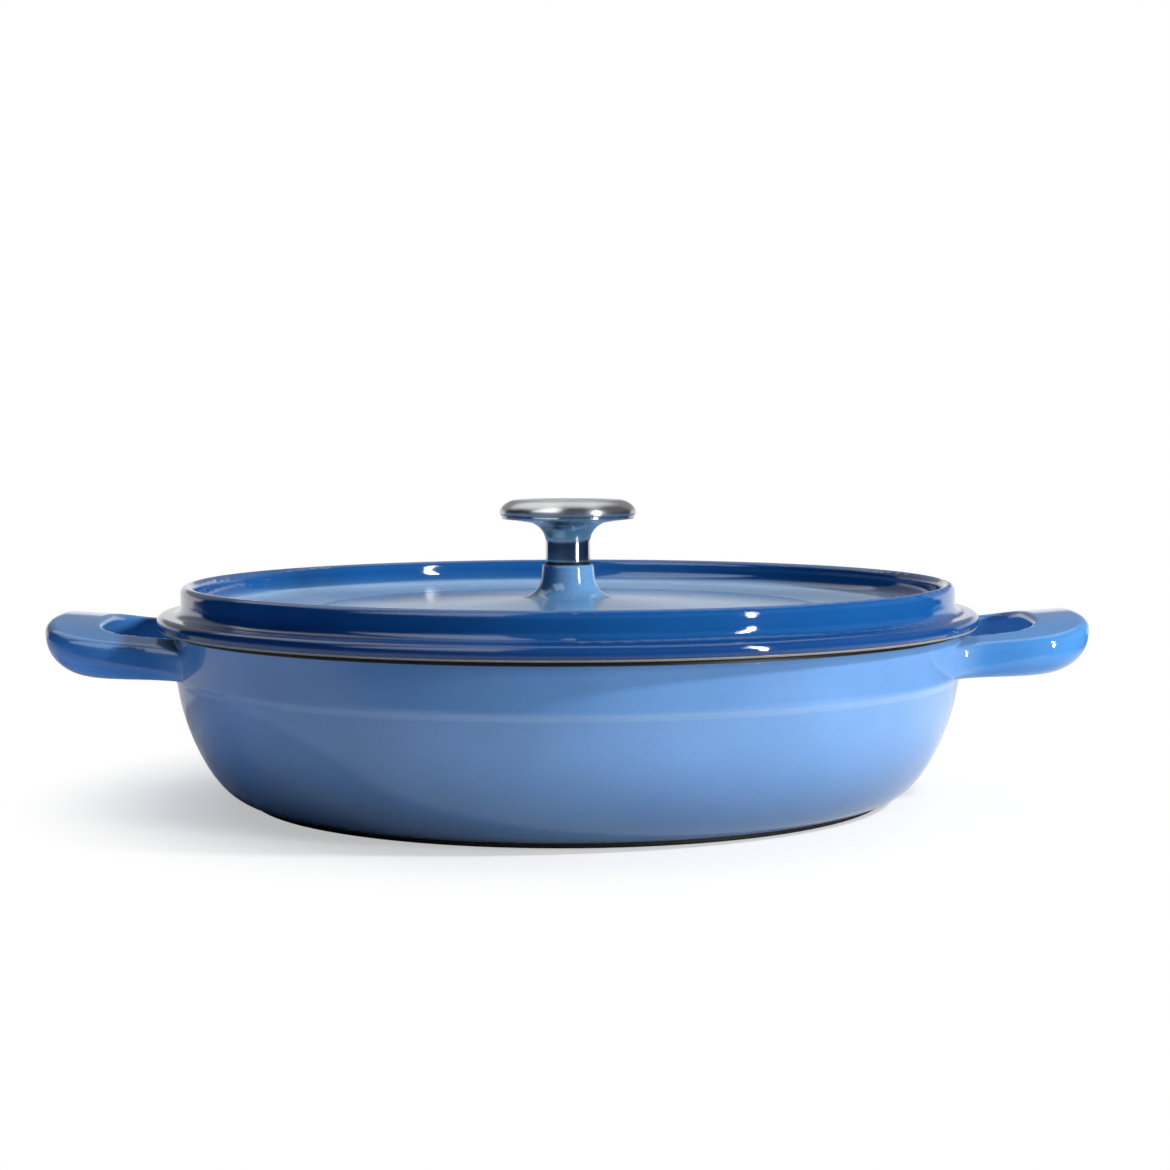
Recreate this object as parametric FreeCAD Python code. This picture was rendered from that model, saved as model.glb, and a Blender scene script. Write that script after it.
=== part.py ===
"""Enamelled cast-iron braiser: a shallow round pan with two cast loop handles, a lid with an upturned ring
round a shallow tray, and a steel knob held by one screw through the lid.

Millimetres, +Z up. The origin is on the table under the middle of the pan, and the handles lie along X.
"""
import FreeCAD
import Part
import math
import os

V = FreeCAD.Vector

# Pan: bowl and rim
RIM_RADIUS = 150.5        # outside of the rim
PAN_HEIGHT = 66.0         # table to the top of the rim
RIM_WALL = 4.8            # width of the flat rim that the lid sits on
RIM_ROUND = 1.4           # rounding of the rim's outer edge
RIM_INNER_ROUND = 0.8
BOWL_WALL = 4.4           # below the band
FLOOR = 5.0               # table to the inside of the floor
FLOOR_CORNER = 9.5        # flat floor ends this far inside the foot
FLOOR_SWEEP = 22.0        # how far the inside corner pulls out along the floor
FOOT_RADIUS = 121.5
FOOT_HEIGHT = 2.0
FOOT_ROUND = 0.5
FOOT_SET_IN = 2.0         # ledge between the foot and the bowl
FOOT_LAND = 20.0          # width of the ring that stands on the table
FOOT_RECESS = 0.8
SPRING_ANGLE = 10.0       # slope of the bowl where it leaves the foot
SPRING_PULL = 12.8
WALL_ANGLE = 81.5         # slope of the bowl where it reaches the band
WALL_PULL = 18.4

# Pan: the proud band that the handles grow out of
BAND_DEPTH = 20.2         # top of the rim down to the foot of the band
BAND_PROUD = 0.9
BAND_TAPER = 0.7
BAND_ROLL = 5.6           # height over which the band rolls in to the bowl

# Pan: loop handles
HANDLE_REACH = 46.2       # tip beyond the rim
HANDLE_HALF_WIDTH = 50.0
HANDLE_SQUARENESS = 3.5   # 2 gives an oval loop, more gives squarer corners
HANDLE_CROWN = 5.6        # middle of the top down to its long edges
HANDLE_RISE = 0.071       # slope of the top, up towards the tip
HANDLE_EDGE_DROP = 4.5    # top of the rim down to the long edges at the root
HANDLE_FOOT_DROP = 17.2   # top of the rim down to the underside
HANDLE_TOP_ROUND = 3.5
HANDLE_UNDER_ROUND = 3.4  # lower outer edge of an arm
HANDLE_SWEEP_SPREAD = 0.5  # how late that edge opens into the sweep under the tip
HANDLE_HOLE_TOP_ROUND = 2.2
HANDLE_HOLE_FOOT_ROUND = 2.4
HANDLE_FLAT = 0.5         # least straight stretch between two roundings
HANDLE_STATIONS = (88, 78, 62, 44, 26, 10)  # turns from the tip, in degrees, of half the slices
FINGER_DEPTH = 25.6       # wall to the far side of the finger hole
FINGER_HALF_WIDTH = 36.5
ROOT_FLARE = 15.0         # widening of an arm where it ends inside the wall
ROOT_SINK = 2.6           # depth of that end inside the rim's outer face

# Lid
LID_PLAY = 1.2            # gap all round between the lip and the pan
LIP_DEPTH = 4.5
LIP_WALL = 4.6
LIP_ROUND = 1.2
FLANGE_OVERHANG = 5.5     # beyond the pan's rim
FLANGE_RISE = 5.6         # seat up to the foot of the ring
FLANGE_FALL = 0.5         # how much lower the flange's edge is than its root
FLANGE_ROUND = 2.4
FLANGE_EDGE = 1.1         # height of the thin ground edge under the flange
FLANGE_EDGE_SET_IN = 0.6
RING_INSET = 3.3          # ring's outer face inside the pan's rim
RING_WALL = 5.2
RING_HEIGHT = 15.8        # seat up to the crest
RING_ROUND = 2.55
RING_FOOT_ROUND = 3.4
TRAY_HEIGHT = 6.0         # seat up to the floor of the tray
TRAY_ROUND = 6.0
PLATE = 4.2               # thickness of the lid's plate
DOME_RADIUS = 95.0        # edge of the shallow dome in the tray
DOME_STEP = 0.5
DOME_STEP_RUN = 1.2
DOME_RISE = 3.9           # tray floor up to the middle of the dome
DOME_FEED = 1.8           # extra thickness of the plate where the dome meets the boss
SOFT_ROUND = 1.5
BOSS_HEIGHT = 22.2        # seat up to the knob
BOSS_TOP_RADIUS = 9.7
BOSS_FOOT_RADIUS = 11.4
BOSS_EDGE_ROUND = 0.8
BOSS_FILLET = 8.0
PAD_RADIUS = 14.0         # ground pad for the washers under the boss
PAD_PROUD = 0.4

# Knob
GASKET = 0.8
GASKET_PROUD = 0.35       # beyond the stem
STEM_RADIUS = 8.6
STEM_EDGE_ROUND = 0.5
STEM_FILLET = 7.6
KNOB_RADIUS = 26.2
KNOB_SEAM_HEIGHT = 18.2   # stem's foot up to the seam under the cap
BODY_SET_IN = 0.6         # body's edge inside the cap's
BODY_RIM = 1.3            # thickness of the body's edge
BODY_EDGE_ROUND = 0.5
BODY_UNDERSIDE_RISE = 2.5
BODY_WEB = 2.0            # metal over the insert
REGISTER_HEIGHT = 1.2     # ring on the body that centres the cap
REGISTER_WALL = 1.5
CAP_CLEARANCE = 0.1
CAP_WALL = 1.2
CAP_RIM = 2.0             # width of the cap's lower edge
CAP_EDGE_ROUND = 0.8
CAP_SIDE = 1.4            # seam up to the widest line
CAP_SHOULDER = 4.4        # widest line up to the shoulder
CAP_SHOULDER_IN = 5.8
CAP_SHOULDER_PULL = 0.42  # fullness of the shoulder, as a share of its height and width
CAP_CROWN = 0.3           # shoulder up to the middle of the crown

# Fastening
SCREW_RADIUS = 3.0
SCREW_CLEARANCE = 0.4     # in the lid and the washers
THREAD_CLEARANCE = 0.05
SCREW_REACH = 12.0        # length held by the insert
SCREW_TIP = 0.8
HEAD_RADIUS = 5.8
HEAD_HEIGHT = 3.1
HEAD_ROUND = 1.6
DRIVE_LENGTH = 5.6
DRIVE_WIDTH = 1.2
DRIVE_DEPTH = 1.8
INSERT_RADIUS = 5.0
INSERT_FIT = 0.03
INSERT_SET_BACK = 0.3     # insert's foot above the stem's foot
INSERT_LENGTH = 14.0
INSERT_GROOVE = 0.6
INSERT_GROOVE_WIDTH = 2.4
SEAL_RADIUS = 9.0
SEAL_THICKNESS = 1.2
WASHER_RADIUS = 7.2
WASHER_THICKNESS = 1.0
SPRING_RADIUS = 5.4
SPRING_THICKNESS = 1.3
SPRING_GAP = 0.9
SPRING_SLANT = 20.0
SPRING_CUTTER = 3.0       # height of the cut that splits it, in thicknesses

# Drawing
QUARTER_PULL = 0.5523     # pull that makes a curve a quarter of an ellipse
THIRD = 1 / 3             # pull that makes a curve a parabola
SHARED_RUN = 0.998        # most of a straight run that the roundings at its ends may take up

# Levels and radii that several pieces share
SEAT = PAN_HEIGHT
BAND_FOOT = PAN_HEIGHT - BAND_DEPTH
BAND_FOOT_RADIUS = RIM_RADIUS - BAND_TAPER
BOWL_TOP_RADIUS = BAND_FOOT_RADIUS - BAND_PROUD
MOUTH_RADIUS = RIM_RADIUS - RIM_WALL
LIP_RADIUS = MOUTH_RADIUS - LID_PLAY
TRAY = SEAT + TRAY_HEIGHT
DOME = TRAY + DOME_RISE
UNDERSIDE = DOME - PLATE - DOME_FEED
PAD = UNDERSIDE - PAD_PROUD
BOSS_TOP = SEAT + BOSS_HEIGHT
BORE_RADIUS = SCREW_RADIUS + SCREW_CLEARANCE
KNOB_FOOT = BOSS_TOP + GASKET
KNOB_SEAM = KNOB_FOOT + KNOB_SEAM_HEIGHT
INSERT_FOOT = KNOB_FOOT + INSERT_SET_BACK
INSERT_TOP = INSERT_FOOT + INSERT_LENGTH
SEAL_FOOT = PAD - SEAL_THICKNESS
WASHER_FOOT = SEAL_FOOT - WASHER_THICKNESS
SPRING_FOOT = WASHER_FOOT - SPRING_THICKNESS


def on_profile(r, z):
    """Place a profile's point in the XZ plane, ready to turn about Z."""
    return V(r, 0, z)


def heading(degrees, length):
    """A step of this length, at this slope in the profile's plane."""
    return (length * math.cos(math.radians(degrees)), length * math.sin(math.radians(degrees)))


def corner_arc(before, corner, after, cut):
    """The start, middle and end of an arc that rounds a corner, starting this far from it along both runs."""
    here = V(*corner, 0)
    back = (V(*before, 0) - here).normalize()
    ahead = (V(*after, 0) - here).normalize()
    half = back.getAngle(ahead) / 2
    sagitta = cut * (1 / math.cos(half) - math.tan(half))
    middle_line = (back + ahead).normalize()
    points = (here + back * cut, here + middle_line * sagitta, here + ahead * cut)
    return [(p.x, p.y) for p in points]


def corner_cuts(ends, roundings):
    """How far from each corner its rounding starts. Roundings that would meet share the run between them."""
    count = len(ends)
    points = [V(*end, 0) for end in ends]
    cuts = []
    for i in range(count):
        cut = 0
        if roundings[i]:
            angle = (points[i - 1] - points[i]).getAngle(points[(i + 1) % count] - points[i])
            cut = roundings[i] / math.tan(angle / 2)
        cuts.append(cut)
    limited = list(cuts)
    for i in range(count):
        following = (i + 1) % count
        run = (points[following] - points[i]).Length
        wanted = cuts[i] + cuts[following]
        if wanted > SHARED_RUN * run:
            limited[i] = min(limited[i], cuts[i] * SHARED_RUN * run / wanted)
            limited[following] = min(limited[following], cuts[following] * SHARED_RUN * run / wanted)
    return limited


def outline(steps, place=on_profile):
    """A closed wire through steps: corners (u, v) or (u, v, rounding), and curves as lists of poles."""
    ends = [step[-1] if isinstance(step, list) else step[:2] for step in steps]
    roundings = [0 if isinstance(step, list) or len(step) == 2 else step[2] for step in steps]
    cuts = corner_cuts(ends, roundings)
    edges = []
    at = None
    for i, step in enumerate(steps):
        if isinstance(step, list):
            curve = Part.BezierCurve()
            curve.setPoles([place(*at)] + [place(*pole) for pole in step])
            edges.append(curve.toShape())
            at = ends[i]
            continue
        arc = [ends[i]] * 3
        if cuts[i]:
            arc = corner_arc(ends[i - 1], ends[i], ends[(i + 1) % len(ends)], cuts[i])
        if at is None:
            first = arc[0]
        else:
            edges.append(Part.LineSegment(place(*at), place(*arc[0])).toShape())
        if cuts[i]:
            edges.append(Part.Arc(*[place(*p) for p in arc]).toShape())
        at = arc[2]
    edges.append(Part.LineSegment(place(*at), place(*first)).toShape())
    return Part.Wire(edges)


def turned(steps):
    """Turn a closed profile once about Z."""
    return Part.Face(outline(steps)).revolve(V(0, 0, 0), V(0, 0, 1), 360)


def ring(inner, outer, foot, height):
    """A flat ring standing at this level."""
    disc = Part.makeCylinder(outer, height, V(0, 0, foot))
    return disc.cut(Part.makeCylinder(inner, height, V(0, 0, foot)))


def handle_top(point):
    """Height of a handle's top face, which rises towards the tip and falls away to its long edges."""
    edges = PAN_HEIGHT - HANDLE_EDGE_DROP + HANDLE_RISE * (point.x - RIM_RADIUS)
    return edges + HANDLE_CROWN * (1 - (point.y / HANDLE_HALF_WIDTH) ** 2)


def handle_section(inner, outer):
    """One upright slice through a handle, from the finger hole's side to the outside.

    The lower outer edge is a small round on the arms and opens into a wide sweep under the tip.
    """
    across = outer - inner
    width = across.Length
    across.normalize()
    foot = PAN_HEIGHT - HANDLE_FOOT_DROP
    outer_top = handle_top(outer)
    opening = max(0, (outer.x - RIM_RADIUS) / HANDLE_REACH) ** HANDLE_SWEEP_SPREAD
    widest_run = width - HANDLE_HOLE_FOOT_ROUND - HANDLE_FLAT
    tallest_rise = outer_top - foot - HANDLE_TOP_ROUND - HANDLE_FLAT
    run = HANDLE_UNDER_ROUND + (widest_run - HANDLE_UNDER_ROUND) * opening
    rise = HANDLE_UNDER_ROUND + (tallest_rise - HANDLE_UNDER_ROUND) * opening
    pull = 1 - QUARTER_PULL

    def place(u, v):
        return inner + across * u + V(0, 0, v)

    corners = [
        (0, foot, HANDLE_HOLE_FOOT_ROUND),
        (width - run, foot),
        [(width - run * pull, foot), (width, foot + rise * pull), (width, foot + rise)],
        (width, outer_top, HANDLE_TOP_ROUND),
        (0, handle_top(inner), HANDLE_HOLE_TOP_ROUND),
    ]
    return outline(corners, place)


def loop_point(turn, reach, half_width):
    """A point on a squared oval about the middle of the handle's root."""
    power = 2 / HANDLE_SQUARENESS
    along = math.cos(turn) ** power
    aside = math.sin(turn) ** power
    return V(RIM_RADIUS + reach * along, half_width * aside, 0)


def wall_point(radius, y):
    """A point at this radius from the pan's axis."""
    return V(math.sqrt(radius ** 2 - y ** 2), y, 0)


def loop_handle():
    """The handle at +X: slices round half a loop, their mirror images, and a skin through them all."""
    root_radius = RIM_RADIUS - ROOT_SINK
    half = [(
        wall_point(root_radius, FINGER_HALF_WIDTH),
        wall_point(root_radius, HANDLE_HALF_WIDTH + ROOT_FLARE),
    )]
    for degrees in HANDLE_STATIONS:
        turn = math.radians(degrees)
        half.append((
            loop_point(turn, FINGER_DEPTH, FINGER_HALF_WIDTH),
            loop_point(turn, HANDLE_REACH, HANDLE_HALF_WIDTH),
        ))
    tip = (V(RIM_RADIUS + FINGER_DEPTH, 0, 0), V(RIM_RADIUS + HANDLE_REACH, 0, 0))
    mirrored = [tuple(V(p.x, -p.y, 0) for p in pair) for pair in reversed(half)]
    sections = [handle_section(*pair) for pair in half + [tip] + mirrored]
    return Part.makeLoft(sections, True, False)


def make_pan():
    """The pan casting: a turned bowl, a loop handle at each end, and the inside cut out last."""
    bowl_start = (FOOT_RADIUS + FOOT_SET_IN, FOOT_HEIGHT)
    bowl_end = (BOWL_TOP_RADIUS, BAND_FOOT)
    spring = heading(SPRING_ANGLE, SPRING_PULL)
    arrive = heading(WALL_ANGLE, WALL_PULL)
    outside = [
        (0, FOOT_RECESS),
        (FOOT_RADIUS - FOOT_LAND, FOOT_RECESS, FOOT_ROUND),
        (FOOT_RADIUS - FOOT_LAND, 0, FOOT_ROUND),
        (FOOT_RADIUS, 0, FOOT_ROUND),
        (FOOT_RADIUS, FOOT_HEIGHT),
        bowl_start,
        [
            (bowl_start[0] + spring[0], bowl_start[1] + spring[1]),
            (bowl_end[0] - arrive[0], bowl_end[1] - arrive[1]),
            bowl_end,
        ],
        [
            (BOWL_TOP_RADIUS, BAND_FOOT + BAND_PROUD),
            (BAND_FOOT_RADIUS, BAND_FOOT + BAND_PROUD),
            (BAND_FOOT_RADIUS, BAND_FOOT + BAND_ROLL),
        ],
        (RIM_RADIUS, PAN_HEIGHT, RIM_ROUND),
        (0, PAN_HEIGHT),
    ]
    floor_end = (FOOT_RADIUS - FLOOR_CORNER, FLOOR)
    wall_start = (BOWL_TOP_RADIUS - BOWL_WALL, BAND_FOOT)
    above_rim = PAN_HEIGHT + RIM_INNER_ROUND
    inside = [
        (0, FLOOR),
        floor_end,
        [
            (floor_end[0] + FLOOR_SWEEP, FLOOR),
            (wall_start[0] - arrive[0], wall_start[1] - arrive[1]),
            wall_start,
        ],
        (MOUTH_RADIUS, PAN_HEIGHT - RIM_INNER_ROUND),
        (MOUTH_RADIUS + RIM_INNER_ROUND, PAN_HEIGHT),
        (MOUTH_RADIUS + RIM_INNER_ROUND, above_rim),
        (0, above_rim),
    ]
    right = loop_handle()
    left = right.mirror(V(0, 0, 0), V(1, 0, 0))
    return turned(outside).fuse([right, left]).cut(turned(inside))


def make_lid():
    """The lid casting: knob boss, domed tray, upturned ring, flange, and the lip that drops into the pan."""
    ring_radius = RIM_RADIUS - RING_INSET
    ring_inside = ring_radius - RING_WALL
    crest = SEAT + RING_HEIGHT
    flange_radius = RIM_RADIUS + FLANGE_OVERHANG
    flange_root = SEAT + FLANGE_RISE
    edge_radius = flange_radius - FLANGE_EDGE_SET_IN
    dome_edge = DOME_RADIUS - DOME_STEP_RUN
    return turned([
        (BORE_RADIUS, BOSS_TOP),
        (BOSS_TOP_RADIUS, BOSS_TOP, BOSS_EDGE_ROUND),
        (BOSS_FOOT_RADIUS, DOME, BOSS_FILLET),
        (dome_edge, TRAY + DOME_STEP, SOFT_ROUND),
        (DOME_RADIUS, TRAY, SOFT_ROUND),
        (ring_inside, TRAY, TRAY_ROUND),
        (ring_inside, crest, RING_ROUND),
        (ring_radius, crest, RING_ROUND),
        (ring_radius, flange_root, RING_FOOT_ROUND),
        (flange_radius, flange_root - FLANGE_FALL, FLANGE_ROUND),
        (flange_radius, SEAT + FLANGE_EDGE + FLANGE_EDGE_SET_IN, FLANGE_EDGE_SET_IN),
        (edge_radius, SEAT + FLANGE_EDGE),
        (edge_radius, SEAT),
        (LIP_RADIUS, SEAT),
        (LIP_RADIUS, SEAT - LIP_DEPTH, LIP_ROUND),
        (LIP_RADIUS - LIP_WALL, SEAT - LIP_DEPTH, LIP_ROUND),
        (LIP_RADIUS - LIP_WALL, TRAY - PLATE, TRAY_ROUND),
        (DOME_RADIUS, TRAY - PLATE, SOFT_ROUND),
        (dome_edge, TRAY + DOME_STEP - PLATE, SOFT_ROUND),
        (PAD_RADIUS + PAD_PROUD, UNDERSIDE, SOFT_ROUND),
        (PAD_RADIUS, PAD),
        (BORE_RADIUS, PAD),
    ])


def make_knob_body():
    """The polished half of the knob: stem, flared underside, and a ring that centres the cap."""
    edge = KNOB_RADIUS - BODY_SET_IN
    underside = KNOB_SEAM - BODY_RIM
    register = KNOB_RADIUS - CAP_RIM - CAP_CLEARANCE
    hollow = register - REGISTER_WALL
    socket = INSERT_RADIUS + INSERT_FIT
    roof = INSERT_TOP + BODY_WEB
    return turned([
        (0, INSERT_TOP),
        (socket, INSERT_TOP),
        (socket, KNOB_FOOT),
        (STEM_RADIUS, KNOB_FOOT, STEM_EDGE_ROUND),
        (STEM_RADIUS, underside - BODY_UNDERSIDE_RISE, STEM_FILLET),
        (edge, underside, BODY_EDGE_ROUND),
        (edge, KNOB_SEAM),
        (register, KNOB_SEAM),
        (register, KNOB_SEAM + REGISTER_HEIGHT),
        (hollow, KNOB_SEAM + REGISTER_HEIGHT),
        (hollow, KNOB_SEAM),
        (STEM_RADIUS, roof),
        (0, roof),
    ])


def make_knob_cap():
    """The brushed cap: a shallow crowned shell with a soft shoulder."""
    widest = KNOB_SEAM + CAP_SIDE
    shoulder = widest + CAP_SHOULDER
    shoulder_radius = KNOB_RADIUS - CAP_SHOULDER_IN
    crown = shoulder + CAP_CROWN
    rim_inside = KNOB_RADIUS - CAP_RIM
    crown_slope = 2 * CAP_CROWN / shoulder_radius
    pull_in = CAP_SHOULDER_PULL * CAP_SHOULDER_IN
    return turned([
        (0, crown - CAP_WALL),
        (shoulder_radius - CAP_WALL, shoulder - CAP_WALL, SOFT_ROUND),
        (rim_inside, widest + CAP_WALL, SOFT_ROUND),
        (rim_inside, KNOB_SEAM),
        (KNOB_RADIUS, KNOB_SEAM, CAP_EDGE_ROUND),
        (KNOB_RADIUS, widest),
        [
            (KNOB_RADIUS, widest + CAP_SHOULDER_PULL * CAP_SHOULDER),
            (shoulder_radius + pull_in, shoulder - crown_slope * pull_in),
            (shoulder_radius, shoulder),
        ],
        [
            (shoulder_radius * (1 - THIRD), crown - CAP_CROWN * THIRD),
            (shoulder_radius * THIRD, crown),
            (0, crown),
        ],
    ])


def make_knob_insert():
    """The threaded bush in the stem, waisted so that the stem's metal grips it."""
    thread = SCREW_RADIUS + THREAD_CLEARANCE
    middle = (INSERT_FOOT + INSERT_TOP) / 2
    waist = INSERT_RADIUS - INSERT_GROOVE
    half = INSERT_GROOVE_WIDTH / 2
    return turned([
        (thread, INSERT_FOOT),
        (INSERT_RADIUS, INSERT_FOOT),
        (INSERT_RADIUS, middle - half - INSERT_GROOVE),
        (waist, middle - half),
        (waist, middle + half),
        (INSERT_RADIUS, middle + half + INSERT_GROOVE),
        (INSERT_RADIUS, INSERT_TOP),
        (thread, INSERT_TOP),
    ])


def make_knob_screw():
    """The pan-head screw, driven from under the lid by a cross recess."""
    tip = INSERT_FOOT + SCREW_REACH
    head_foot = SPRING_FOOT - HEAD_HEIGHT
    screw = turned([
        (0, head_foot),
        (HEAD_RADIUS, head_foot, HEAD_ROUND),
        (HEAD_RADIUS, SPRING_FOOT),
        (SCREW_RADIUS, SPRING_FOOT),
        (SCREW_RADIUS, tip - SCREW_TIP),
        (SCREW_RADIUS - SCREW_TIP, tip),
        (0, tip),
    ])
    corner = V(-DRIVE_LENGTH / 2, -DRIVE_WIDTH / 2, head_foot)
    slot = Part.makeBox(DRIVE_LENGTH, DRIVE_WIDTH, DRIVE_DEPTH, corner)
    crossing = slot.copy()
    crossing.rotate(V(0, 0, 0), V(0, 0, 1), 90)
    return screw.cut(slot.fuse(crossing))


def make_spring_washer():
    """The split lock washer, pressed flat, with a slanted cut."""
    washer = ring(BORE_RADIUS, SPRING_RADIUS, SPRING_FOOT, SPRING_THICKNESS)
    middle = SPRING_FOOT + SPRING_THICKNESS / 2
    tall = SPRING_CUTTER * SPRING_THICKNESS
    cut = Part.makeBox(SPRING_RADIUS, SPRING_GAP, tall)
    cut.translate(V(0, -SPRING_GAP / 2, middle - tall / 2))
    cut.rotate(V(0, 0, middle), V(1, 0, 0), SPRING_SLANT)
    return washer.cut(cut)


PIECES = {
    "pan": make_pan(),
    "lid": make_lid(),
    "knob_gasket": ring(BORE_RADIUS, STEM_RADIUS + GASKET_PROUD, BOSS_TOP, GASKET),
    "knob_body": make_knob_body(),
    "knob_cap": make_knob_cap(),
    "knob_insert": make_knob_insert(),
    "knob_screw": make_knob_screw(),
    "spring_washer": make_spring_washer(),
    "flat_washer": ring(BORE_RADIUS, WASHER_RADIUS, WASHER_FOOT, WASHER_THICKNESS),
    "seal_washer": ring(BORE_RADIUS, SEAL_RADIUS, SEAL_FOOT, SEAL_THICKNESS),
}

os.makedirs("parts", exist_ok=True)
for name, shape in PIECES.items():
    shape.exportStep(f"parts/{name}.step")
    print(name, "solids", len(shape.Solids), "valid", shape.isValid(), "cm3", round(shape.Volume / 1000, 1))
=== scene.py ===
"""Looks for an enamelled cast-iron braiser: blue vitreous enamel outside, pale enamel inside, a
bare black rim and foot, and a steel knob, on a plain white studio floor."""
import bpy
import math
from bpy.props import FloatProperty, FloatVectorProperty, PointerProperty
from mathutils import Matrix

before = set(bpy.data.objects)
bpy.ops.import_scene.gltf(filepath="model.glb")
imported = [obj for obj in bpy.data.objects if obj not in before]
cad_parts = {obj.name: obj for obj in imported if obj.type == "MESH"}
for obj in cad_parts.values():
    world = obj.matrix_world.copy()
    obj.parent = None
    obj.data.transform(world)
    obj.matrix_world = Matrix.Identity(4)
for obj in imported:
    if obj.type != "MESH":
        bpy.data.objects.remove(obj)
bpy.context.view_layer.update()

bl_info = {
    "name": "Braiser looks",
    "version": (1, 0, 0),
    "blender": (4, 5, 0),
    "location": "View3D > Sidebar > Braiser",
    "description": "Gives a packed braiser its enamel, steel and silicone, and a studio",
    "category": "Object",
}


def degrees(*ends):
    """Angles in degrees, in the radians that shaders use."""
    return tuple(math.radians(end) for end in ends)


MM = 0.001
WHITE = (1.0, 1.0, 1.0)

# Sockets of a Mix node for colours, which share their names with its other kinds
MIX_FACTOR = 0
MIX_FIRST = 6
MIX_SECOND = 7
MIX_RESULT = 2

# Levels between which a noise rises from 0 to 1, from a strong contrast to a faint one
STRONG = (0.3, 0.7)
MEDIUM = (0.25, 0.75)
FAINT = (0.2, 0.8)

# How far a normal turns where these begin: pan's inside, lid's underside, lid's tray, cap's top
INWARD = (0.05, 0.15)
DOWNWARD = (-0.1, -0.2)
LEVEL = (0.9, 0.98)
CAP_TOP = (0.80, 0.97)

# Edges of every piece, eased for the light
EASED_EDGE = 1.6 * MM
EASING_SAMPLES = 6

# Enamel: sizes of its marks, spread of its shades, and what each place adds to its roughness
MOTTLE = 45 * MM
FLECK = 0.6 * MM
MOTTLE_SHARE = 0.6
BLUE_SPREAD = 0.1
PALE_SPREAD = 0.04
LIGHTER_PART = 0.8
# Painted shade: how dark the pan's blue is painted towards the foot
PAINTED_SHADE_DEPTH = 0.5
# Painted highlight: share of the paler blue painted along the step under the band
STEP_HIGHLIGHT_SHARE = 0.25
CRUST = 1.2 * MM
GROUND_SHADES = (1.0, 2.2)
EDGE_SHADES = (0.85, 1.0)
PEEL = 11 * MM
SAND = 0.9 * MM
PEEL_SHARE = 0.15
SAND_SHARE = 0.9
ENAMEL_RELIEF = 0.06 * MM
ENAMEL_IOR = 1.54
ENAMEL_ROUGHNESS = 0.035
PEEL_DULLNESS = 0.03
PALE_DULLNESS = 0.08
TRAY_DULLNESS = 0.14
EDGE_DULLNESS = 0.3
BARE_DULLNESS = 0.38

# Knob steel: sizes of its marks, its shades and its roughness
BRUSHING = 0.22 * MM
STREAK = 4 * MM
SIDE_BRUSHING = 0.1
CAP_SHADES = (0.88, 1.06)
CAP_ROUGHNESS = 0.24
LINE_DULLNESS = 0.08
STREAK_DULLNESS = 0.04
CAP_STRETCH = 0.8
SMEAR = 6 * MM
STEM_SHADES = (0.94, 1.04)
STEM_ROUGHNESS = 0.10
SMEAR_DULLNESS = 0.05
STEM_STRETCH = 0.7
ACROSS_THE_LINES = 0.25
STEEL_RELIEF = 0.004 * MM

# Plated steel and silicone: sizes of their marks, their shades and their roughness
STAIN = 3 * MM
ZINC_SHADES = (0.82, 1.0)
ZINC_ROUGHNESS = 0.22
STAIN_DULLNESS = 0.12
PLATING = 0.4 * MM
PLATING_RELIEF = 0.008 * MM
DUST = 0.8 * MM
SILICONE_SHADES = (0.9, 1.1)
SILICONE_ROUGHNESS = 0.42
DUST_DULLNESS = 0.15
DUST_RELIEF = 0.02 * MM

# Room: where each light part of it lies, as the braiser sees it
SOFT_EDGE = math.radians(4)
BEHIND = degrees(-45, 45)
BACKDROP_FADE = degrees(10, 6)
UPPER_RISE = degrees(10, 34)
ROOF_LEAN = degrees(40, 85)
ROOF_SPAN = (-0.6, 0.35)
ROOF_EDGE = 0.1
SIDE_TURN = degrees(-68, -22)
SIDE_RISE = degrees(30, 74)
FRONT_TURN = degrees(-40, 125)
FRONT_RISE = degrees(10, 45)
DUSK_LEVELS = (0.03, 0.15)

# Floor, in metres: where its cloth lies and where it throws light back
FLOOR_SIZE = 12
BEHIND_SLOPE = 0.82
BEHIND_FADE = (0.05, 0.15)
CLOTH_FRONT = (-0.34, -0.2)
CLOTH_SPAN = (-0.75, 0.25)
CLOTH_EDGE = 0.15
BOUNCE_FADE = (-0.1, -0.25)
CLEAR_START = 0.6

SENSOR_WIDTH = 36


def screen(red, green, blue):
    """A colour as a screen shows it, from 0 to 255, in the linear values that shaders use."""
    def linear(level):
        share = level / 255
        return share / 12.92 if share <= 0.04045 else ((share + 0.055) / 1.055) ** 2.4
    return (linear(red), linear(green), linear(blue))


def linear_colour(name, description, rgb):
    """A colour that a user may change, in linear values."""
    return FloatVectorProperty(
        name=name, description=description, subtype="COLOR", size=3, min=0, max=1, default=rgb)


def colour(name, description, red, green, blue):
    """A colour that a user may change, as a screen shows it."""
    return linear_colour(name, description, screen(red, green, blue))


def length(name, description, millimetres):
    """A size that a user may change."""
    return FloatProperty(
        name=name, description=description, subtype="DISTANCE", unit="LENGTH", min=0,
        default=millimetres * MM)


def angle(name, description, turn):
    """An angle that a user may change, given in degrees."""
    return FloatProperty(
        name=name, description=description, subtype="ANGLE", unit="ROTATION",
        default=math.radians(turn))


def power(name, description, watts):
    """A lamp's power that a user may change."""
    return FloatProperty(name=name, description=description, unit="POWER", min=0, default=watts)


def strength(name, description, share):
    """A share or brightness that a user may change."""
    return FloatProperty(name=name, description=description, min=0, default=share)


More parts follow.
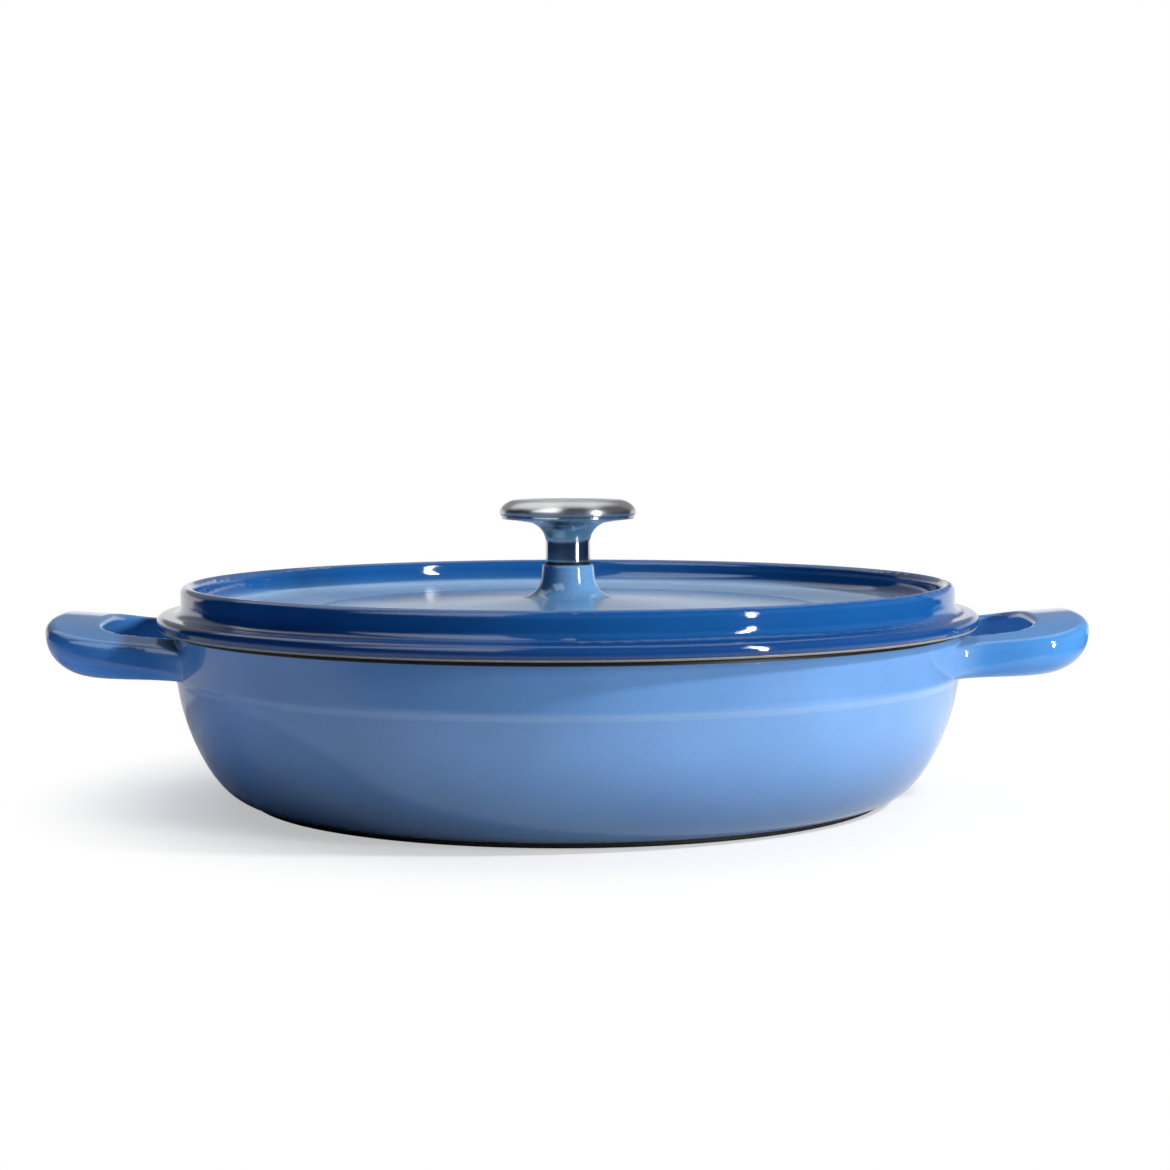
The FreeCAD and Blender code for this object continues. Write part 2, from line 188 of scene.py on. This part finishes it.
class BraiserColours(bpy.types.PropertyGroup):
    """The colours of the finishes."""
    pan: colour("Pan enamel", "Wall of the pan", 104, 148, 201)
    handle: colour("Handle enamel", "Loop handles, where the coat is deeper", 72, 137, 202)
    lid: colour("Lid enamel", "Boss and tray of the lid", 98, 146, 192)
    # Painted light: the channel round the dome is painted paler, standing in for the light from
    # above on it
    channel: colour(
        "Channel enamel", "Channel round the lid's dome, where the coat is thinner", 160, 191, 222)
    ring: colour("Lid ring enamel", "Ring of the lid, where the coat is deeper", 21, 84, 148)
    flange: colour(
        "Lid flange enamel", "Flange of the lid, where the coat is deepest", 18, 66, 126)
    inside: colour("Inside enamel", "Inside of the pan and underside of the lid", 226, 216, 194)
    ground: colour("Ground coat", "Bare rim and foot", 13, 14, 16)
    edge: colour("Lid edge", "Ground edge under the lid's flange", 148, 143, 128)
    steel: colour("Knob steel", "Cap and stem of the knob", 199, 202, 203)
    zinc: colour("Plated steel", "Screw, washers and insert", 172, 174, 176)
    seal: colour("Seal washer", "Silicone washer under the lid", 214, 210, 200)
    gasket: colour("Knob gasket", "Ring between the knob and the boss", 18, 18, 20)


class BraiserSizes(bpy.types.PropertyGroup):
    """Where one finish ends and the next begins, and the width over which it does so."""
    rim_height: length("Rim height", "Table to the top of the pan's rim", 66)
    rim_band: length("Rim band", "Height of the bare band round the rim", 2.0)
    rim_fade: length("Rim fade", "Width of the bare band's soft lower edge", 0.3)
    mouth_radius: length("Mouth radius", "Inside of the pan's rim", 145.7)
    rim_wall: length("Rim wall", "Mouth to the outer edge of the bare rim", 5.2)
    rim_wall_fade: length("Rim wall fade", "Width of the bare rim's soft outer edge", 1.0)
    rim_inset: length("Rim inset", "Mouth to the inner edge of the bare rim", 0.5)
    rim_inset_fade: length("Rim inset fade", "Width of the bare rim's soft inner edge", 0.5)
    pale_overlap: length("Pale overlap", "Mouth to the outer edge of the pale coat", 0.4)
    pale_fade: length("Pale fade", "Width of the pale coat's soft outer edge", 0.8)
    handle_root: length("Handle root", "Radius where the handles' deeper coat begins", 151.5)
    handle_coat: length("Handle coat", "Radius where the handles' coat is fully deep", 162.05)
    foot_radius: length("Foot radius", "Radius of the bare foot's outer edge", 124.5)
    foot_radius_fade: length("Foot radius fade", "Width of the bare foot's soft outer edge", 1.0)
    foot_height: length("Foot height", "Height of the bare foot", 2.2)
    sharp_fade: length(
        "Sharp fade", "Width of the upper edges of the bare foot and the lid's ground edge", 0.2)
    # Painted highlight: the paler line painted along the step under the band lies between these
    # heights
    step_highlight_foot: length("Worn foot", "Lower edge of the thin coat on the step under the band", 46.6)
    step_highlight_top: length("Worn top", "Upper edge of the thin coat on the step under the band", 47.6)
    step_highlight_fade: length("Worn fade", "Width of the soft edges of that thin coat", 1.2)
    # Painted shade: the pan's blue is painted darker below this height
    painted_shade_height: length(
        "Sag height", "Height below which the coat has run thicker and deeper", 38)
    lid_edge: length("Lid edge height", "Height of the ground edge under the lid", 0.65)
    lip_radius: length("Lip radius", "Outside of the lip that drops into the pan", 144.5)
    lip_inset: length(
        "Lip inset", "Outside of the lip to the outer edge of the underside's coat", 3.5)
    lip_inset_fade: length("Lip inset fade", "Width of the underside coat's soft edge", 0.5)
    edge_gap: length("Edge gap", "Outside of the lip to the inner side of the ground edge", 0.2)
    edge_fade: length("Edge fade", "Width of the ground edge's soft inner side", 0.4)
    ring_inside: length("Ring inside", "Inside radius of the lid's ring", 142)
    ring_fade: length("Ring fade", "Width over which the ring's deeper coat begins", 4)
    tray_fade: length("Tray fade", "Width over which the tray's softer gloss ends", 6)
    # Painted light: the channel's paler blue lies between these radii
    channel_inside: length("Channel inside", "Inside radius of the channel's thinner coat", 99)
    channel_outside: length("Channel outside", "Outside radius of the channel's thinner coat", 138)
    channel_fade: length("Channel fade", "Width of the soft edges of the channel's coat", 3)
    flange_inside: length("Flange inside", "Radius where the flange's deepest coat begins", 146.7)
    flange_fade: length("Flange fade", "Width over which the flange's deepest coat begins", 3.5)


class BraiserStudio(bpy.types.PropertyGroup):
    """The camera and the light."""
    camera_distance: length("Camera distance", "Camera in front of the braiser's axis", 880)
    camera_height: length("Camera height", "Camera above the table", 140)
    camera_pitch: angle("Camera pitch", "How far the camera looks down", 3.89)
    camera_yaw: angle("Camera yaw", "How far the camera looks to the right", 0.425)
    camera_roll: angle("Camera roll", "How far the camera leans to the right", 0.14)
    lens: FloatProperty(
        name="Lens", description="Focal length in millimetres", subtype="DISTANCE_CAMERA",
        default=70.46)
    key_turn: angle("Key turn", "Key lamp, to the right of the front", 68)
    key_rise: angle("Key rise", "Key lamp above the table", 37)
    key_width: length("Key width", "Width of the key lamp", 140)
    key_power: power("Key power", "Key lamp", 17)
    strip_turn: angle("Strip turn", "Strip lamp, to the right of the front", 50)
    strip_rise: angle("Strip rise", "Middle of the strip lamp above the table", 15.5)
    strip_width: length("Strip width", "Width of the strip lamp", 60)
    strip_length: length("Strip length", "Height of the strip lamp", 850)
    strip_power: power("Strip power", "Strip lamp", 14.5)
    lamp_distance: length("Lamp distance", "Lamps from the braiser", 1500)
    backdrop: strength(
        "Backdrop", "White cloth behind the braiser, as the braiser sees it", 0.95)
    backdrop_top: strength(
        "Upper backdrop", "Upper part of the white cloth, as the braiser sees it", 0.3)
    roof: strength("Roof", "Soft box over and behind the braiser", 1.3)
    side: strength("Side box", "Soft box at the left of the front", 2.6)
    front: strength("Front wall", "Walls behind and beside the camera", 0.14)
    room: strength("Room", "The rest of the room", 0.03)
    dusk: colour("Dusk", "Colour of the unlit room", 110, 160, 255)
    cloth: linear_colour(
        "Cloth", "Floor near the braiser and behind it, as the braiser sees it", (0.86, 0.86, 0.86))
    shade: linear_colour(
        "Shade", "The rest of the floor, as the braiser sees it", (0.02, 0.04, 0.11))
    haze: colour(
        "Haze", "Colour of the light that the floor at the left throws back", 180, 215, 255)
    bounce: strength("Bounce", "Light that the floor at the left throws back", 1.4)
    floor_whitening: strength(
        "Floor whitening", "Share of plain white in the floor beside the braiser", 0.47)
    floor_clear: length(
        "Clear floor", "Distance from the axis at which the floor is plain white", 215)


class Signal:
    """One output in a shader tree. Arithmetic on it adds Math nodes, and add() any other node."""

    def __init__(self, tree, output=None):
        self.tree = tree
        self.output = output

    def add(self, kind, settings=None, inputs=None, output=0):
        """Add a node: its settings first, then the values or links of its sockets."""
        node = self.tree.nodes.new(kind)
        for key, value in (settings or {}).items():
            setattr(node, key, value)
        for key, value in (inputs or {}).items():
            if isinstance(value, Signal):
                self.tree.links.new(value.output, node.inputs[key])
            else:
                node.inputs[key].default_value = value
        return Signal(self.tree, node.outputs[output] if node.outputs else None)

    def math(self, operation, *values):
        """Add a Math node."""
        return self.add("ShaderNodeMath", {"operation": operation}, dict(enumerate(values)))

    def __add__(self, other):
        return self.math("ADD", self, other)

    __radd__ = __add__

    def __sub__(self, other):
        return self.math("SUBTRACT", self, other)

    def __rsub__(self, other):
        return self.math("SUBTRACT", other, self)

    def __mul__(self, other):
        return self.math("MULTIPLY", self, other)

    __rmul__ = __mul__

    def __abs__(self):
        return self.math("ABSOLUTE", self)

    def step(self, low, high):
        """0 below low, 1 above high and a smooth rise between, or a fall if low is above high."""
        return self.add("ShaderNodeMapRange", {"interpolation_type": "SMOOTHSTEP"}, {
            "Value": self,
            "From Min": min(low, high),
            "From Max": max(low, high),
            "To Min": float(low > high),
            "To Max": float(low <= high),
        })

    def between(self, low, high, soft):
        """1 between low and high, falling to 0 over a soft margin outside them."""
        return self.step(low - soft, low) * self.step(high + soft, high)

    def either(self, other):
        """The larger of two."""
        return self.math("MAXIMUM", self, other)

    def tint(self, first, second):
        """A colour from first, where this is 0, to second, where it is 1."""
        ends = [end if isinstance(end, Signal) else (*end, 1.0) for end in (first, second)]
        return self.add(
            "ShaderNodeMix", {"data_type": "RGBA"},
            {MIX_FACTOR: self, MIX_FIRST: ends[0], MIX_SECOND: ends[1]}, MIX_RESULT)

    def shades(self, rgb, darkest, lightest):
        """A colour from its darkest shade, where this is 0, to its lightest, where it is 1."""
        return self.tint(shade(rgb, darkest), shade(rgb, lightest))

    def blend(self, first, second):
        """A surface from first, where this is 0, to second, where it is 1."""
        return self.add("ShaderNodeMixShader", inputs={0: self, 1: first, 2: second})


def shade(rgb, share):
    """A colour made lighter or darker."""
    return tuple(min(1.0, level * share) for level in rgb)


def new_material(name):
    """An empty node material and the root of its tree."""
    material = bpy.data.materials.new(name)
    material.use_nodes = True
    material.node_tree.nodes.clear()
    return material, Signal(material.node_tree)


def finish_material(paint, sockets, height, depth):
    """A principled surface with a relief of this depth, and with its sharp edges eased."""
    eased = paint.add("ShaderNodeBevel", {"samples": EASING_SAMPLES}, {"Radius": EASED_EDGE})
    normal = paint.add("ShaderNodeBump", inputs={
        "Strength": 1.0, "Distance": depth, "Height": height, "Normal": eased})
    surface = paint.add("ShaderNodeBsdfPrincipled", inputs={**sockets, "Normal": normal})
    paint.add("ShaderNodeOutputMaterial", inputs={"Surface": surface})


def assign(name, material):
    """Give a CAD node one material."""
    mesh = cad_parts[name].data
    mesh.materials.clear()
    mesh.materials.append(material)


def object_point(paint):
    """The point on the object."""
    return paint.add("ShaderNodeTexCoord", output="Object")


def object_normal(paint):
    """The direction in which the surface faces."""
    return paint.add("ShaderNodeTexCoord", output="Normal")


def coordinates(vector, axes):
    """A vector's parts along these axes."""
    return [vector.add("ShaderNodeSeparateXYZ", inputs={0: vector}, output=axis) for axis in axes]


def distance(vector):
    """A vector's length."""
    return vector.add("ShaderNodeVectorMath", {"operation": "LENGTH"}, {0: vector}, "Value")


def flattened(point):
    """The point, dropped to the table."""
    return point.add("ShaderNodeVectorMath", {"operation": "MULTIPLY"}, {0: point, 1: (1, 1, 0)})


def whereabouts(paint):
    """The point, its distance from the axis, its height, and how far its normal points up."""
    point = object_point(paint)
    height, = coordinates(point, "Z")
    upward, = coordinates(object_normal(paint), "Z")
    return point, distance(flattened(point)), height, upward


def facing_out(paint, point):
    """How far the normal points away from the axis."""
    outward = paint.add("ShaderNodeVectorMath", {"operation": "NORMALIZE"}, {0: flattened(point)})
    return paint.add(
        "ShaderNodeVectorMath", {"operation": "DOT_PRODUCT"},
        {0: object_normal(paint), 1: outward}, "Value")


def grain(point, wavelength, detail=2.0):
    """Soft noise of this wavelength, from 0 to 1."""
    return point.add("ShaderNodeTexNoise", inputs={
        "Vector": point, "Scale": 1 / wavelength, "Detail": detail, "Roughness": 0.5})


def enamel_coat(point, rgb, spread=BLUE_SPREAD):
    """A fired coat: slow mottling where it lies thicker, and fine flecks of pigment."""
    mottle = grain(point, MOTTLE, detail=3.0).step(*STRONG)
    fleck = grain(point, FLECK, detail=1.0).step(*MEDIUM)
    mixed = mottle * MOTTLE_SHARE + fleck * (1 - MOTTLE_SHARE)
    return mixed.shades(rgb, 1 - spread, 1 + spread * LIGHTER_PART)


def crusty_coat(point, rgb, shades):
    """A bare or ground place, with a fine crust."""
    return grain(point, CRUST).step(*STRONG).shades(rgb, *shades)


def finish_enamel(paint, point, base, dullness, bare):
    """A glossy coat with a faint peel, duller in places, and sandy where it is bare or ground."""
    peel = grain(point, PEEL, detail=1.0)
    sand = grain(point, SAND)
    finish_material(paint, {
        "Base Color": base,
        "Roughness": peel * PEEL_DULLNESS + ENAMEL_ROUGHNESS + dullness,
        "IOR": ENAMEL_IOR,
    }, peel * PEEL_SHARE + bare * sand * SAND_SHARE, ENAMEL_RELIEF)


class BRAISER_OT_pan(bpy.types.Operator):
    """Enamel the pan: blue outside, pale inside, with a bare black rim and foot"""
    bl_idname = "braiser.pan"
    bl_label = "Pan"

    def execute(self, context):
        colours, sizes = context.scene.braiser_colours, context.scene.braiser_sizes
        material, paint = new_material("pan_enamel")
        point, radius, height, upward = whereabouts(paint)
        pale_edge = sizes.mouth_radius + sizes.pale_overlap
        inside = (upward - facing_out(paint, point)).step(*INWARD)
        inside = inside * radius.step(pale_edge + sizes.pale_fade, pale_edge)
        bare = self.bare_iron(sizes, radius, height)
        outside = self.blue_coats(colours, sizes, point, radius, height)
        pale = enamel_coat(point, colours.inside, PALE_SPREAD)
        black = crusty_coat(point, colours.ground, GROUND_SHADES)
        base = bare.tint(inside.tint(outside, pale), black)
        dullness = inside * PALE_DULLNESS + bare * BARE_DULLNESS
        finish_enamel(paint, point, base, dullness, bare)
        assign("pan", material)
        return {"FINISHED"}

    def bare_iron(self, sizes, radius, height):
        """The band round the rim and the foot, which have no enamel."""
        band = sizes.rim_height - sizes.rim_band
        outer = sizes.mouth_radius + sizes.rim_wall
        inner = sizes.mouth_radius - sizes.rim_inset
        rim = height.step(band, band + sizes.rim_fade)
        rim = rim * radius.step(outer + sizes.rim_wall_fade, outer)
        rim = rim * radius.step(inner - sizes.rim_inset_fade, inner)
        half = sizes.sharp_fade / 2
        foot = height.step(sizes.foot_height + half, sizes.foot_height - half)
        foot = foot * radius.step(sizes.foot_radius + sizes.foot_radius_fade, sizes.foot_radius)
        return rim.either(foot)

    def blue_coats(self, colours, sizes, point, radius, height):
        """The blue outside: painted shade low down, a painted highlight on the step, deeper
        handles.
        """
        # Painted shade: the wall is painted darker towards the foot, standing in for the shade low
        # on the pan
        painted_shade_low = height.step(sizes.painted_shade_height, sizes.foot_height)
        # Painted highlight: a paler line along the step under the band, standing in for light on
        # its rounded edge
        step_highlight = height.between(sizes.step_highlight_foot, sizes.step_highlight_top, sizes.step_highlight_fade)
        loop = radius.step(sizes.handle_root, sizes.handle_coat)
        shaded_wall = enamel_coat(point, shade(colours.pan, PAINTED_SHADE_DEPTH))
        wall = painted_shade_low.tint(enamel_coat(point, colours.pan), shaded_wall)
        wall = (step_highlight * STEP_HIGHLIGHT_SHARE).tint(wall, enamel_coat(point, colours.channel))
        return loop.tint(wall, enamel_coat(point, colours.handle))


class BRAISER_OT_lid(bpy.types.Operator):
    """Enamel the lid: blue above, deeper on the ring and flange, pale below, with a ground edge"""
    bl_idname = "braiser.lid"
    bl_label = "Lid"

    def execute(self, context):
        colours, sizes = context.scene.braiser_colours, context.scene.braiser_sizes
        material, paint = new_material("lid_enamel")
        point, radius, height, upward = whereabouts(paint)
        seat = sizes.rim_height + sizes.lid_edge
        half = sizes.sharp_fade / 2
        low = height.step(seat + half, seat - half)
        under_edge = sizes.lip_radius - sizes.lip_inset
        under = upward.step(*DOWNWARD)
        under = under * radius.step(under_edge + sizes.lip_inset_fade, under_edge)
        below = low.either(under)
        edge_inside = sizes.lip_radius + sizes.edge_gap
        edge = low * radius.step(edge_inside, edge_inside + sizes.edge_fade)
        tray = upward.step(*LEVEL)
        tray = tray * radius.step(sizes.ring_inside, sizes.ring_inside - sizes.tray_fade)
        blue = self.blue_coats(colours, sizes, point, radius)
        pale = enamel_coat(point, colours.inside, PALE_SPREAD)
        grey = crusty_coat(point, colours.edge, EDGE_SHADES)
        base = edge.tint(below.tint(blue, pale), grey)
        dullness = tray * TRAY_DULLNESS + below * PALE_DULLNESS + edge * EDGE_DULLNESS
        finish_enamel(paint, point, base, dullness, edge)
        assign("lid", material)
        return {"FINISHED"}

    def blue_coats(self, colours, sizes, point, radius):
        """The blue above: painted light in the channel, deeper on the ring, deepest on the flange.
        """
        # Painted light: the channel is painted paler than the rest of the lid
        channel = radius.between(sizes.channel_inside, sizes.channel_outside, sizes.channel_fade)
        deeper = radius.step(sizes.ring_inside - sizes.ring_fade, sizes.ring_inside)
        deepest = radius.step(sizes.flange_inside, sizes.flange_inside + sizes.flange_fade)
        blue = channel.tint(enamel_coat(point, colours.lid), enamel_coat(point, colours.channel))
        blue = deeper.tint(blue, enamel_coat(point, colours.ring))
        return deepest.tint(blue, enamel_coat(point, colours.flange))


class BRAISER_OT_knob(bpy.types.Operator):
    """Brush the knob's cap and polish its stem"""
    bl_idname = "braiser.knob"
    bl_label = "Knob"

    def execute(self, context):
        steel = context.scene.braiser_colours.steel
        self.brush_cap(steel)
        self.polish_stem(steel)
        return {"FINISHED"}

    def brush_cap(self, steel):
        """Brush the cap in rings round its axis, more on its top than on its side."""
        material, paint = new_material("brushed_cap")
        point, radius, height, upward = whereabouts(paint)
        rings = paint.add("ShaderNodeCombineXYZ", inputs={"X": radius, "Y": height})
        lines = grain(rings, BRUSHING, detail=3.0)
        streak = grain(point, STREAK)
        top = upward.step(*CAP_TOP)
        finish_material(paint, {
            "Base Color": lines.step(*FAINT).shades(steel, *CAP_SHADES),
            "Metallic": 1.0,
            "Roughness": lines * LINE_DULLNESS + streak * STREAK_DULLNESS + CAP_ROUGHNESS,
            "Anisotropic": CAP_STRETCH,
            "Anisotropic Rotation": ACROSS_THE_LINES,
        }, lines * (top * (1 - SIDE_BRUSHING) + SIDE_BRUSHING), STEEL_RELIEF)
        assign("knob_cap", material)

    def polish_stem(self, steel):
        """Polish the stem, with faint smears."""
        material, paint = new_material("polished_stem")
        smear = grain(object_point(paint), SMEAR, detail=3.0)
        finish_material(paint, {
            "Base Color": smear.step(*STRONG).shades(steel, *STEM_SHADES),
            "Metallic": 1.0,
            "Roughness": smear * SMEAR_DULLNESS + STEM_ROUGHNESS,
            "Anisotropic": STEM_STRETCH,
            "Anisotropic Rotation": ACROSS_THE_LINES,
        }, smear, STEEL_RELIEF)
        assign("knob_body", material)


class BRAISER_OT_fastening(bpy.types.Operator):
    """Plate the screw, the insert and the washers, and mould the two silicone rings"""
    bl_idname = "braiser.fastening"
    bl_label = "Fastening"

    def execute(self, context):
        colours = context.scene.braiser_colours
        material, paint = new_material("plated_steel")
        point = object_point(paint)
        stain = grain(point, STAIN, detail=3.0).step(*MEDIUM)
        finish_material(paint, {
            "Base Color": stain.shades(colours.zinc, *ZINC_SHADES),
            "Metallic": 1.0,
            "Roughness": stain * STAIN_DULLNESS + ZINC_ROUGHNESS,
        }, grain(point, PLATING), PLATING_RELIEF)
        for name in ("knob_screw", "knob_insert", "flat_washer", "spring_washer"):
            assign(name, material)
        for name, rgb in (("seal_washer", colours.seal), ("knob_gasket", colours.gasket)):
            material, paint = new_material(name + "_silicone")
            dust = grain(object_point(paint), DUST)
            finish_material(paint, {
                "Base Color": dust.step(*STRONG).shades(rgb, *SILICONE_SHADES),
                "Roughness": dust * DUST_DULLNESS + SILICONE_ROUGHNESS,
            }, dust, DUST_RELIEF)
            assign(name, material)
        return {"FINISHED"}


class BRAISER_OT_stage(bpy.types.Operator):
    """Lay the floor, light the studio and set the camera"""
    bl_idname = "braiser.stage"
    bl_label = "Stage"

    def execute(self, context):
        studio = context.scene.braiser_studio
        context.scene.view_settings.view_transform = "Standard"
        self.lay_floor(studio)
        self.light_room(context.scene, studio)
        self.hang_lamps(studio)
        self.set_camera(context.scene, studio)
        return {"FINISHED"}

    def lay_floor(self, studio):
        """Lay a floor that the camera sees as white with a shadow, and the braiser as a cloth."""
        bpy.ops.object.select_all(action="DESELECT")
        bpy.ops.mesh.primitive_plane_add(size=FLOOR_SIZE)
        floor = bpy.context.object
        floor.name = "studio_floor"
        material, paint = new_material("studio_floor")
        point = object_point(paint)
        white = {"Color": (*WHITE, 1.0)}
        glow = paint.add("ShaderNodeEmission", inputs={**white, "Strength": 1.0})
        lit = self.cloth(paint, point, glow, studio)
        clear = distance(point).step(studio.floor_clear * CLEAR_START, studio.floor_clear)
        whitening = clear * (1 - studio.floor_whitening) + studio.floor_whitening
        shown = whitening.blend(paint.add("ShaderNodeBsdfDiffuse", inputs=white), glow)
        seen = paint.add("ShaderNodeLightPath", output="Is Camera Ray")
        paint.add("ShaderNodeOutputMaterial", inputs={"Surface": seen.blend(lit, shown)})
        floor.data.materials.append(material)

    def cloth(self, paint, point, glow, studio):
        """The floor as the braiser sees it: pale near it and behind it, hazy at the left."""
        right, back = coordinates(point, "XY")
        behind = (back - abs(right) * BEHIND_SLOPE).step(*BEHIND_FADE)
        near = back.step(*CLOTH_FRONT) * right.between(*CLOTH_SPAN, CLOTH_EDGE)
        lit = paint.add("ShaderNodeBsdfDiffuse", inputs={
            "Color": near.either(behind).tint(studio.shade, studio.cloth)})
        mirrored = paint.add("ShaderNodeLightPath", output="Is Glossy Ray")
        lit = (mirrored * behind * studio.backdrop).blend(lit, glow)
        bounced = paint.add("ShaderNodeLightPath", output="Is Diffuse Ray")
        haze = paint.add("ShaderNodeEmission", inputs={
            "Color": (*studio.haze, 1.0), "Strength": studio.bounce})
        return (bounced * right.step(*BOUNCE_FADE)).blend(lit, haze)

    def light_room(self, scene, studio):
        """Light the room by a backdrop, a roof and, in reflections only, a side box and walls."""
        world = bpy.data.worlds.new("studio_room")
        world.use_nodes = True
        world.node_tree.nodes.clear()
        scene.world = world
        paint = Signal(world.node_tree)
        direction = paint.add("ShaderNodeTexCoord", output="Generated")
        right, back, up = coordinates(direction, "XYZ")
        rise = paint.math("ARCSINE", up)
        off_back = paint.math("ARCTAN2", right, back)
        off_front = paint.math("ARCTAN2", right, 0 - back)
        lean = paint.math("ARCTAN2", up, back)
        behind = off_back.between(*BEHIND, SOFT_EDGE)
        backdrop = behind * rise.step(*BACKDROP_FADE) * studio.backdrop
        upper = behind * rise.between(*UPPER_RISE, SOFT_EDGE) * studio.backdrop_top
        roof = lean.between(*ROOF_LEAN, SOFT_EDGE) * right.between(*ROOF_SPAN, ROOF_EDGE)
        side = off_front.between(*SIDE_TURN, SOFT_EDGE) * rise.between(*SIDE_RISE, SOFT_EDGE)
        front = off_front.between(*FRONT_TURN, SOFT_EDGE) * rise.between(*FRONT_RISE, SOFT_EDGE)
        mirrored = paint.add("ShaderNodeLightPath", output="Is Glossy Ray")
        boxes = (side * studio.side + front * studio.front) * mirrored
        light = backdrop + upper + roof * studio.roof + boxes + studio.room
        seen = paint.add("ShaderNodeLightPath", output="Is Camera Ray")
        tone = light.step(*DUSK_LEVELS).either(seen).tint(studio.dusk, WHITE)
        background = paint.add("ShaderNodeBackground", inputs={
            "Color": tone, "Strength": light * (1 - seen) + seen})
        paint.add("ShaderNodeOutputWorld", inputs={"Surface": background})

    def hang_lamps(self, studio):
        """Hang the key lamp, which shows in no reflection, and the strip lamp."""
        key = self.hang_lamp(
            studio, "key_lamp", studio.key_turn, studio.key_rise, studio.key_power)
        key.visible_glossy = False
        key.data.shape = "DISK"
        key.data.size = studio.key_width
        strip = self.hang_lamp(
            studio, "strip_lamp", studio.strip_turn, studio.strip_rise, studio.strip_power)
        strip.data.shape = "RECTANGLE"
        strip.data.size = studio.strip_width
        strip.data.size_y = studio.strip_length

    def hang_lamp(self, studio, name, turn, rise, watts):
        """Hang one lamp, turned to where the braiser's axis meets the table."""
        bpy.ops.object.light_add(type="AREA")
        lamp = bpy.context.object
        lamp.name = name
        lamp.data.energy = watts
        out = (math.sin(turn) * math.cos(rise), -math.cos(turn) * math.cos(rise), math.sin(rise))
        lamp.location = [level * studio.lamp_distance for level in out]
        lamp.rotation_euler = lamp.location.to_track_quat("Z", "Y").to_euler()
        return lamp

    def set_camera(self, scene, studio):
        """Set the camera where the photo was taken from."""
        pitch = Matrix.Rotation(math.radians(90) - studio.camera_pitch, 3, "X")
        turned = Matrix.Rotation(-studio.camera_yaw, 3, "Z") @ pitch
        turned = turned @ Matrix.Rotation(-studio.camera_roll, 3, "Z")
        bpy.ops.object.camera_add(
            location=(0, -studio.camera_distance, studio.camera_height),
            rotation=turned.to_euler())
        camera = bpy.context.object
        camera.name = "photo_camera"
        camera.data.lens = studio.lens
        camera.data.sensor_width = SENSOR_WIDTH
        scene.camera = camera


class BRAISER_PT_sidebar(bpy.types.Panel):
    """Lists the steps of the braiser's looks"""
    bl_idname = "BRAISER_PT_sidebar"
    bl_label = "Braiser"
    bl_space_type = "VIEW_3D"
    bl_region_type = "UI"
    bl_category = "Braiser"

    def draw(self, context):
        for step in STEPS:
            self.layout.operator(step.bl_idname)
        for group in GROUPS:
            settings = getattr(context.scene, group)
            for name in settings.bl_rna.properties.keys():
                if name not in ("rna_type", "name"):
                    self.layout.prop(settings, name)


GROUPS = {
    "braiser_colours": BraiserColours,
    "braiser_sizes": BraiserSizes,
    "braiser_studio": BraiserStudio,
}
STEPS = (BRAISER_OT_pan, BRAISER_OT_lid, BRAISER_OT_knob, BRAISER_OT_fastening, BRAISER_OT_stage)
CLASSES = (*GROUPS.values(), *STEPS, BRAISER_PT_sidebar)


def register():
    """Add the classes and the scene's settings."""
    for cls in CLASSES:
        bpy.utils.register_class(cls)
    for group, cls in GROUPS.items():
        setattr(bpy.types.Scene, group, PointerProperty(type=cls))


def unregister():
    """Take the settings and the classes away again."""
    for group in GROUPS:
        delattr(bpy.types.Scene, group)
    for cls in reversed(CLASSES):
        bpy.utils.unregister_class(cls)


def main():
    """Dress the braiser and set the stage."""
    register()
    bpy.ops.braiser.pan()
    bpy.ops.braiser.lid()
    bpy.ops.braiser.knob()
    bpy.ops.braiser.fastening()
    bpy.ops.braiser.stage()


if __name__ == "__main__":
    main()
